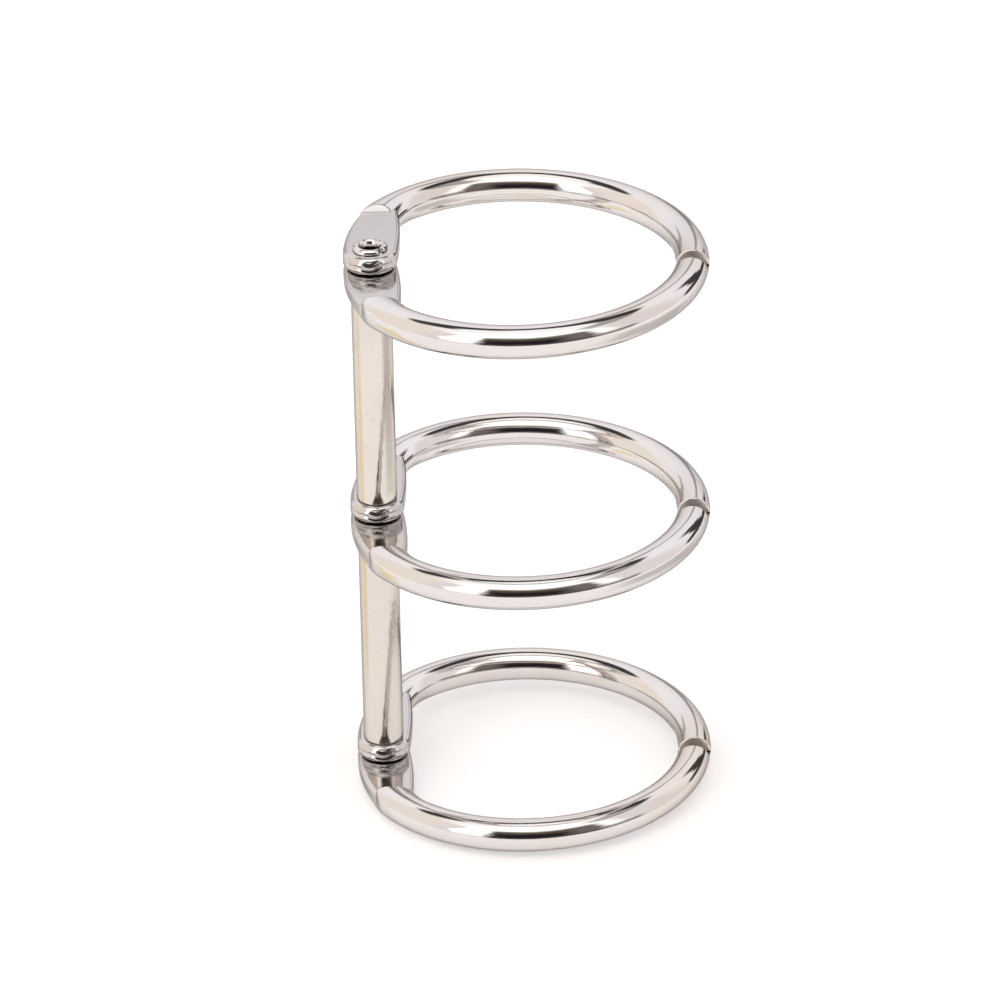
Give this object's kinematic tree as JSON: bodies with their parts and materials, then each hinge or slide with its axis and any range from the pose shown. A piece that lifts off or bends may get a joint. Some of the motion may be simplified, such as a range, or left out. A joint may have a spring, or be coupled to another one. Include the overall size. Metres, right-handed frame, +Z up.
{
  "type": "binder ring",
  "caption": "Hinged loose-leaf binder ring: snap-shut wire rings lapped on a tubular riveted spine, each opening at a lap joint to take punched sheets.",
  "frame": {"origin": "middle of the outline, on the surface that the lowest ring stands on", "axes": "+Z up along the spine, +X from the hinge towards the rings' mouths, +Y to the back"},
  "size_m": [0.0248, 0.0254, 0.0412],
  "materials": {
    "ring_wire": "bright nickel plate",
    "spacer_tube": "bright nickel plate",
    "rivet": "bright nickel plate"
  },
  "bodies": {
    "spine": {"hinge_rivet": "rivet", "lower_spacer_tube": "spacer_tube", "upper_spacer_tube": "spacer_tube"},
    "bottom_back": {"bottom_back_half": "ring_wire"},
    "bottom_front": {"bottom_front_half": "ring_wire"},
    "middle_back": {"middle_back_half": "ring_wire"},
    "middle_front": {"middle_front_half": "ring_wire"},
    "top_back": {"top_back_half": "ring_wire"},
    "top_front": {"top_front_half": "ring_wire"}
  },
  "joints": [
    {"name": "bottom_back_hinge", "type": "hinge", "parent": "spine", "child": "bottom_back", "pos_m": [-0.01055, 0, 0.00158], "axis": [0, 0, 1], "range_deg": [0, 78]},
    {"name": "bottom_front_hinge", "type": "hinge", "parent": "spine", "child": "bottom_front", "pos_m": [-0.01055, 0, 0.00158], "axis": [0, 0, -1], "range_deg": [0, 78]},
    {"name": "middle_back_hinge", "type": "hinge", "parent": "spine", "child": "middle_back", "pos_m": [-0.01055, 0, 0.02058], "axis": [0, 0, 1], "range_deg": [0, 78]},
    {"name": "middle_front_hinge", "type": "hinge", "parent": "spine", "child": "middle_front", "pos_m": [-0.01055, 0, 0.02058], "axis": [0, 0, -1], "range_deg": [0, 78]},
    {"name": "top_back_hinge", "type": "hinge", "parent": "spine", "child": "top_back", "pos_m": [-0.01055, 0, 0.03958], "axis": [0, 0, 1], "range_deg": [0, 78]},
    {"name": "top_front_hinge", "type": "hinge", "parent": "spine", "child": "top_front", "pos_m": [-0.01055, 0, 0.03958], "axis": [0, 0, -1], "range_deg": [0, 78]}
  ]
}
